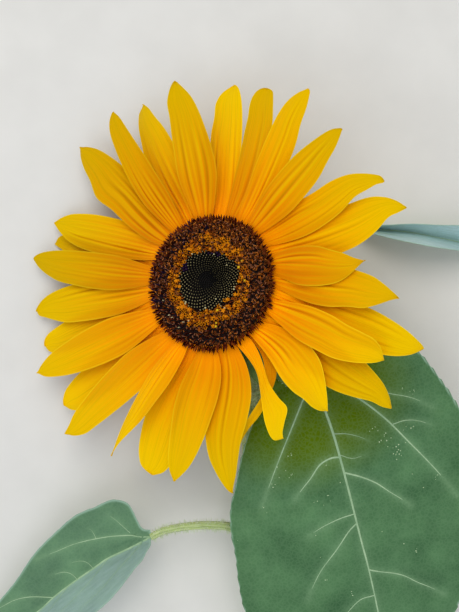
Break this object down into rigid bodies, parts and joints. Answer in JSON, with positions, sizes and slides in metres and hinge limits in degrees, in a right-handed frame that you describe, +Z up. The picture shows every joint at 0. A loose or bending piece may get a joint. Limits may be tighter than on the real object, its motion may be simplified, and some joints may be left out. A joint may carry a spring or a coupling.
{
  "type": "cut sunflower stem",
  "caption": "Cut top of a sunflower lying face up: an open bloom of yellow rays round a brown disc, on a bent neck and green stem with broad leaves.",
  "frame": {"origin": "middle of the whole part's box, on the surface it lies on", "axes": "+Z up, square to the surface it lies on; +Y from the cut end towards the bloom; +X to the right of the bloom as it is looked down on"},
  "size_m": [0.361, 0.3864, 0.1042],
  "materials": {
    "ray_petal": "soft golden yellow ray floret, deep orange at its root, finely ribbed, faint waxy sheen",
    "disc_floret": "dark purple-brown and orange florets, matt, with an olive green eye of closed buds",
    "bract": "mid green bracts with fine pale hairs, matt",
    "stem_skin": "yellow-green ribbed skin with short bristles, pale pith at the cut",
    "leaf_blade": "dull blue-green rough leaf with pale raised veins"
  },
  "bodies": {
    "root": {"disc": "disc_floret", "receptacle": "bract", "ray_01": "ray_petal", "ray_02": "ray_petal", "ray_03": "ray_petal", "ray_04": "ray_petal", "ray_05": "ray_petal", "ray_06": "ray_petal", "ray_07": "ray_petal", "ray_08": "ray_petal", "ray_09": "ray_petal", "ray_10": "ray_petal", "ray_11": "ray_petal", "ray_12": "ray_petal", "ray_13": "ray_petal", "ray_14": "ray_petal", "ray_15": "ray_petal", "ray_16": "ray_petal", "ray_17": "ray_petal", "ray_18": "ray_petal", "ray_19": "ray_petal", "ray_20": "ray_petal", "ray_21": "ray_petal", "ray_22": "ray_petal", "ray_23": "ray_petal", "ray_24": "ray_petal", "ray_25": "ray_petal", "ray_26": "ray_petal", "ray_27": "ray_petal", "ray_28": "ray_petal", "ray_29": "ray_petal", "ray_30": "ray_petal", "neck": "stem_skin", "stem": "stem_skin", "petiole_lower_right": "stem_skin", "petiole_lower_left": "stem_skin", "petiole_right": "stem_skin", "leaf_lower_right": "leaf_blade", "leaf_lower_left": "leaf_blade", "leaf_right": "leaf_blade"}
  },
  "joints": []
}
